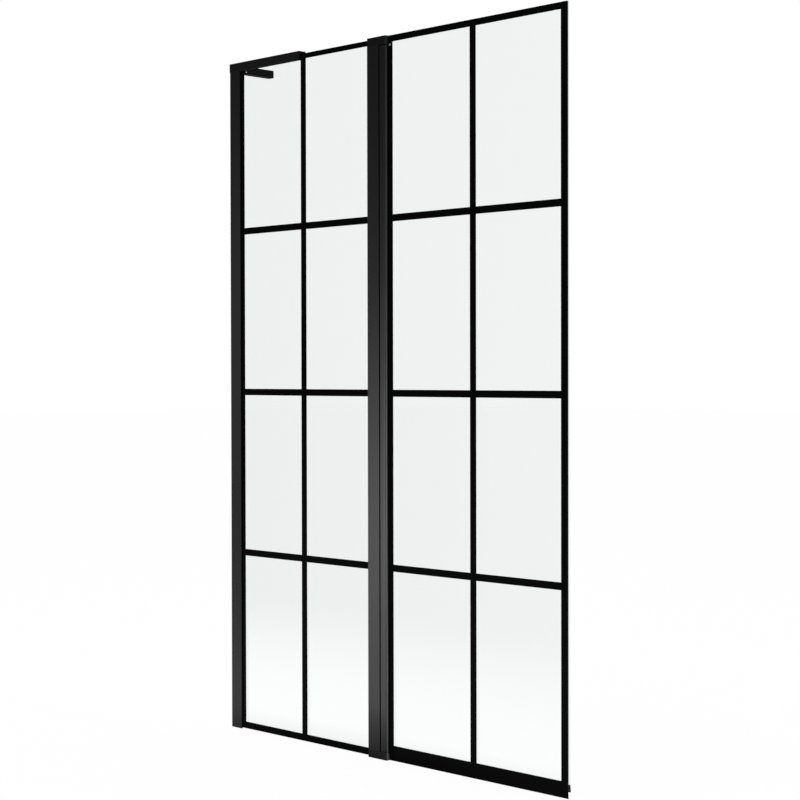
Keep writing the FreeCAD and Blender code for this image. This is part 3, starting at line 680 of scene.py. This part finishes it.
def gasketLipTree():
    tree, given = startTree(
        "gasketLips", {"Radius": "Float", "Resolution": "Int", "Finish": "Material"}
    )
    path = addNode(tree, "GeometryNodeMeshToCurve", {"Mesh": given["Geometry"]})
    ring = addNode(
        tree,
        "GeometryNodeCurvePrimitiveCircle",
        {"Resolution": given["Resolution"], "Radius": given["Radius"]},
    )
    tube = addNode(
        tree,
        "GeometryNodeCurveToMesh",
        {"Curve": path.outputs[0], "Profile Curve": ring.outputs[0], "Fill Caps": True},
    )
    solid = addNode(tree, "GeometryNodeRealizeInstances", {0: tube.outputs[0]})
    finished = addNode(
        tree,
        "GeometryNodeSetMaterial",
        {"Geometry": solid.outputs[0], "Material": given["Finish"]},
    )
    addNode(tree, "NodeGroupOutput", {0: finished.outputs[0]})
    return tree


def gasketLipPieces(look):
    tree = gasketLipTree()
    lowSide, highSide = 0, 1  # which corner of the profile's box the lip runs up
    edges = {
        "frameGasketLips": (
            "frame",
            look["frameRadius"],
            [("wall_profile", highSide), ("hinge_post", lowSide)],
        ),
        "panelGasketLip": ("panel", look["panelRadius"], [("pivot_profile", highSide)]),
    }
    for name, (body, radius, carriers) in edges.items():
        lines = []
        for node, side in carriers:
            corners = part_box(node)
            x, y = corners[side][0], look["glassFace"] + radius
            lines.append([(x, y, corners[0][2] + radius), (x, y, corners[1][2] - radius)])
        values = {
            "Radius": radius,
            "Resolution": look["resolution"],
            "Finish": finishes["black_rubber"],
        }
        plainPiece(name, tree, values, body, lines=lines)
    print("gasket lips made:", ", ".join(edges))


gasketLipPieces(gasketLips)


def waysOfSeeing(tree):
    # straight or through glass, and after a mirror bounce, also one inside the glass
    rays = addNode(tree, "ShaderNodeLightPath").outputs
    clear = addNode(
        tree,
        "ShaderNodeMath",
        {0: rays["Is Glossy Ray"], 1: rays["Is Transmission Ray"]},
        operation="MAXIMUM",
    )
    seen = addNode(
        tree,
        "ShaderNodeMath",
        {0: rays["Is Camera Ray"], 1: clear.outputs[0]},
        operation="MAXIMUM",
    )
    mirrored = addNode(
        tree,
        "ShaderNodeMath",
        {0: rays["Glossy Depth"], 1: 0.5},  # one bounce or more
        operation="GREATER_THAN",
    )
    return seen.outputs[0], mirrored.outputs[0]


# Floor: white to the eye, and seen in the glass as a pool of light painted in its glow that fades
# away from the screen. Close to the screen the pool carries painted shade, so the profiles' feet
# stay dark.
floorLook = {
    "sizeM": 60.0,
    "drop": 0.0006,
    "colour": "#ffffff",
    "glowShare": 0.95,
    "poolCentre": (0.5, 0.0, 0.0),
    "poolStretch": (0.15, 1.0, 1.0),
    "poolNear": 0.2,
    "poolFar": 1.75,
    "poolGlow": 1.1,
    "shadeReach": 0.22,
    "shadeGlow": 0.15,
    "bounce": 0.8,
}


def floorFinish(look):
    material = bpy.data.materials.new("matteWhiteFloor")
    material.use_nodes = True
    tree = material.node_tree
    tree.nodes.clear()
    place = addNode(tree, "ShaderNodeTexCoord").outputs["Object"]
    offset = addNode(
        tree, "ShaderNodeVectorMath", {0: place, 1: look["poolCentre"]}, operation="SUBTRACT"
    )
    stretched = addNode(
        tree,
        "ShaderNodeVectorMath",
        {0: offset.outputs[0], 1: look["poolStretch"]},
        operation="MULTIPLY",
    )
    away = addNode(tree, "ShaderNodeVectorMath", {0: stretched.outputs[0]}, operation="LENGTH")
    # painted pool of light, and painted shade close to the screen
    pool, shade = [
        addNode(
            tree,
            "ShaderNodeMapRange",
            {
                "Value": away.outputs["Value"],
                "From Min": near,
                "From Max": far,
                "To Min": nearGlow,
                "To Max": farGlow,
            },
            interpolation_type="SMOOTHSTEP",
        )
        for near, far, nearGlow, farGlow in (
            (look["poolNear"], look["poolFar"], look["poolGlow"], 0.0),
            (0.0, look["shadeReach"], look["shadeGlow"], 1.0),
        )
    ]
    lit = addNode(
        tree, "ShaderNodeMath", {0: pool.outputs[0], 1: shade.outputs[0]}, operation="MULTIPLY"
    )
    seen, mirrored = waysOfSeeing(tree)
    direct = addNode(tree, "ShaderNodeMix", {"Factor": seen, "A": look["bounce"], "B": 1.0})
    glow = addNode(
        tree, "ShaderNodeMix", {"Factor": mirrored, "A": direct.outputs[0], "B": lit.outputs[0]}
    )
    paint = addNode(tree, "ShaderNodeBsdfDiffuse", {"Color": linearColour(look["colour"])})
    shine = addNode(tree, "ShaderNodeEmission", {"Strength": glow.outputs[0]})
    share = addNode(
        tree,
        "ShaderNodeMath",
        {0: mirrored, 1: 1.0 - look["glowShare"], 2: look["glowShare"]},
        operation="MULTIPLY_ADD",
    )
    mixed = addNode(
        tree,
        "ShaderNodeMixShader",
        {0: share.outputs[0], 1: paint.outputs[0], 2: shine.outputs[0]},
    )
    addNode(tree, "ShaderNodeOutputMaterial", {"Surface": mixed.outputs[0]})
    return material


def studioFloor(look):
    half = look["sizeM"] / 2
    mesh = bpy.data.meshes.new("studioFloor")
    corners = [(-half, -half), (half, -half), (half, half), (-half, half)]
    mesh.from_pydata([(x, y, -look["drop"]) for x, y in corners], [], [(0, 1, 2, 3)])
    floor = bpy.data.objects.new("studioFloor", mesh)
    scene.collection.objects.link(floor)
    mesh.materials.append(floorFinish(look))


studioFloor(floorLook)

# World: a white backdrop to the eye and through the glass, a dim room in reflections.
worldLook = {"colour": "#ffffff", "backdrop": 1.0, "fill": 0.85, "mirrorRoom": 0.03}


def studioWorld(look):
    world = bpy.data.worlds.new("studioWorld")
    world.use_nodes = True
    scene.world = world
    tree = world.node_tree
    tree.nodes.clear()
    seen, mirrored = waysOfSeeing(tree)
    direct = addNode(
        tree, "ShaderNodeMix", {"Factor": seen, "A": look["fill"], "B": look["backdrop"]}
    )
    strength = addNode(
        tree,
        "ShaderNodeMix",
        {"Factor": mirrored, "A": direct.outputs[0], "B": look["mirrorRoom"]},
    )
    light = addNode(
        tree,
        "ShaderNodeBackground",
        {"Color": linearColour(look["colour"]), "Strength": strength.outputs[0]},
    )
    addNode(tree, "ShaderNodeOutputWorld", {"Surface": light.outputs[0]})


studioWorld(worldLook)

# Lamps: one broad soft light from above, low ones that draw a sheen up the profiles, side ones
# that draw the light line down the column's rounded corner, two for the screws and a faint one
# for the frosted edges. All but the first light only their own pieces, because the glass would
# mirror them as bright squares.
lamps = {  # place, aim, size in metres, watts
    "overheadSoftbox": ((0.6, -0.8, 4.2), (0.5, 0.0, 0.7), (2.6, 2.6), 30),
    "lowFrontSoftbox": ((-0.3, -1.6, 0.36), (0.47, 0.0, 0.5), (0.7, 0.5), 17),
    "wallSoftbox": ((-0.9, -1.6, 0.8), (0.02, 0.0, 0.7), (0.4, 1.1), 6),
    "lowBackSoftbox": ((-0.4, 1.9, 0.22), (0.5, 0.0, 0.4), (0.7, 0.5), 10),
    "lowSideSoftbox": ((1.66, -0.96, 0.46), (0.51, 0.0, 0.55), (1.2, 0.25), 16),
    "tallSideSoftbox": ((2.0, -0.3, 1.4), (0.51, 0.0, 1.25), (0.8, 0.9), 4.5),
    "footSideSoftbox": ((1.25, -0.12, 0.06), (0.51, 0.0, 0.06), (0.1, 0.08), 2.2),
    "capSideSoftbox": ((1.25, -0.12, 0.06), (0.51, 0.0, 0.03), (0.1, 0.08), 3.6),
    "beadSoftbox": ((-0.87, -1.4, 1.8), (0.53, 0.0, 1.45), (0.4, 0.4), 1.2),
    "screwSoftbox": ((0.93, 1.16, 0.46), (0.02, 0.03, 1.49), (0.5, 0.5), 18),
    "edgeSoftbox": ((2.6, -0.45, 0.8), (1.0, 0.0, 0.75), (0.7, 1.4), 4.5),
}
sheenSlots = ("black_aluminium", "black_plastic", "stainless", "plain_aluminium")
subparts = frame["record"]["subparts"]
sheenNodes = [s["node"] for s in subparts if s["material_slot"] in sheenSlots]
shadedFromFront = ("wall_profile", "top_hinge_cap", "rail_end_cap")
cornerPieces = [nodes[name] for name in ("pivot_profile", "top_hinge_cap", "bottom_hinge_cap")]
litPieces = {
    "lowFrontSoftbox": [nodes[name] for name in sheenNodes if name not in shadedFromFront] + screws,
    "wallSoftbox": [nodes["wall_profile"]],
    "lowBackSoftbox": [nodes[name] for name in sheenNodes] + screws,
    "lowSideSoftbox": cornerPieces,
    "tallSideSoftbox": cornerPieces,
    "footSideSoftbox": cornerPieces,
    "capSideSoftbox": [nodes["bottom_hinge_cap"]],
    "beadSoftbox": screws,
    "screwSoftbox": screws,
    "edgeSoftbox": [nodes[name] for name in groundEdges["panes"]],
}

for name, (place, aim, size, watts) in lamps.items():
    light = bpy.data.lights.new(name, "AREA")
    light.shape = "RECTANGLE"
    light.size, light.size_y = size
    light.energy = watts
    box = bpy.data.objects.new(name, light)
    box.location = place
    box.rotation_euler = (Vector(aim) - box.location).to_track_quat("-Z", "Y").to_euler()
    box.visible_camera = box.visible_transmission = False
    box.visible_glossy = name != "edgeSoftbox"  # the panes would mirror it
    scene.collection.objects.link(box)
    if name in litPieces:
        lit = bpy.data.collections.new(f"{name}Pieces")
        for piece in litPieces[name]:
            lit.objects.link(piece)
        box.light_linking.receiver_collection = lit

# Flag: a low card that only casts shadow, so the sheen dies away just above the floor.
flagLook = {"left": -0.8, "right": 1.2, "front": -0.2, "foot": 0.0, "top": 0.11}


def floorFlag(look):
    sides = ("left", "foot"), ("right", "foot"), ("right", "top"), ("left", "top")
    mesh = bpy.data.meshes.new("floorFlag")
    mesh.from_pydata([(look[x], look["front"], look[z]) for x, z in sides], [], [(0, 1, 2, 3)])
    flag = bpy.data.objects.new("floorFlag", mesh)
    flag.visible_camera = flag.visible_diffuse = False
    flag.visible_glossy = flag.visible_transmission = False
    scene.collection.objects.link(flag)


floorFlag(flagLook)
print("studio set:", ", ".join(lamps))

# Camera, fitted to the corners of the grid in the photograph
cameraFit = {
    "place": (3.1872, -2.5863, 0.8),
    "headingDeg": 45.658,
    "pitchDeg": -0.803,
    "rollDeg": -0.108,
    "lensMm": 80.84,
    "sensorMm": 36.0,
}
camera = bpy.data.objects.new("camera", bpy.data.cameras.new("camera"))
camera.data.lens = cameraFit["lensMm"]
camera.data.sensor_width = cameraFit["sensorMm"]
level = 90 + cameraFit["pitchDeg"]
heading = Euler((math.radians(level), 0, math.radians(cameraFit["headingDeg"])))
roll = Matrix.Rotation(math.radians(cameraFit["rollDeg"]), 3, "Z")
turn = heading.to_matrix() @ roll
camera.matrix_world = Matrix.Translation(cameraFit["place"]) @ turn.to_4x4()
scene.collection.objects.link(camera)
scene.camera = camera
